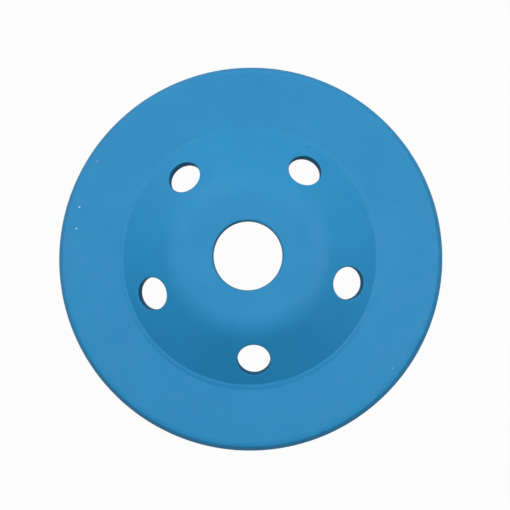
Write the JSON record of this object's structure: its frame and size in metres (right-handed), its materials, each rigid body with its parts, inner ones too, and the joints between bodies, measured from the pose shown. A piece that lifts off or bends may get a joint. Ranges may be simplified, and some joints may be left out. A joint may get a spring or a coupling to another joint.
{
  "type": "diamond cup wheel",
  "caption": "Dished steel grinding cup wheel with a central arbor bore, vent holes in its conical flank and swept diamond segments brazed to the front of its flat rim.",
  "frame": {"origin": "on the wheel's axis, in the plane of the segments' cutting faces that it rests on", "axes": "+Z along the wheel's axis, from the cutting faces towards the hub's back face that meets the grinder; +X is to the right in the picture and +Y is up in it"},
  "size_m": [0.125, 0.125, 0.0173],
  "materials": {
    "blue_paint": "satin blue paint on pressed steel",
    "sintered_bond": "matt sintered metal with diamond grit"
  },
  "bodies": {
    "root": {"cup_body": "blue_paint", "diamond_segment_01": "sintered_bond", "diamond_segment_02": "sintered_bond", "diamond_segment_03": "sintered_bond", "diamond_segment_04": "sintered_bond", "diamond_segment_05": "sintered_bond", "diamond_segment_06": "sintered_bond", "diamond_segment_07": "sintered_bond", "diamond_segment_08": "sintered_bond", "diamond_segment_09": "sintered_bond", "diamond_segment_10": "sintered_bond", "diamond_segment_11": "sintered_bond", "diamond_segment_12": "sintered_bond", "diamond_segment_13": "sintered_bond", "diamond_segment_14": "sintered_bond", "diamond_segment_15": "sintered_bond", "diamond_segment_16": "sintered_bond", "diamond_segment_17": "sintered_bond", "diamond_segment_18": "sintered_bond"}
  },
  "joints": []
}
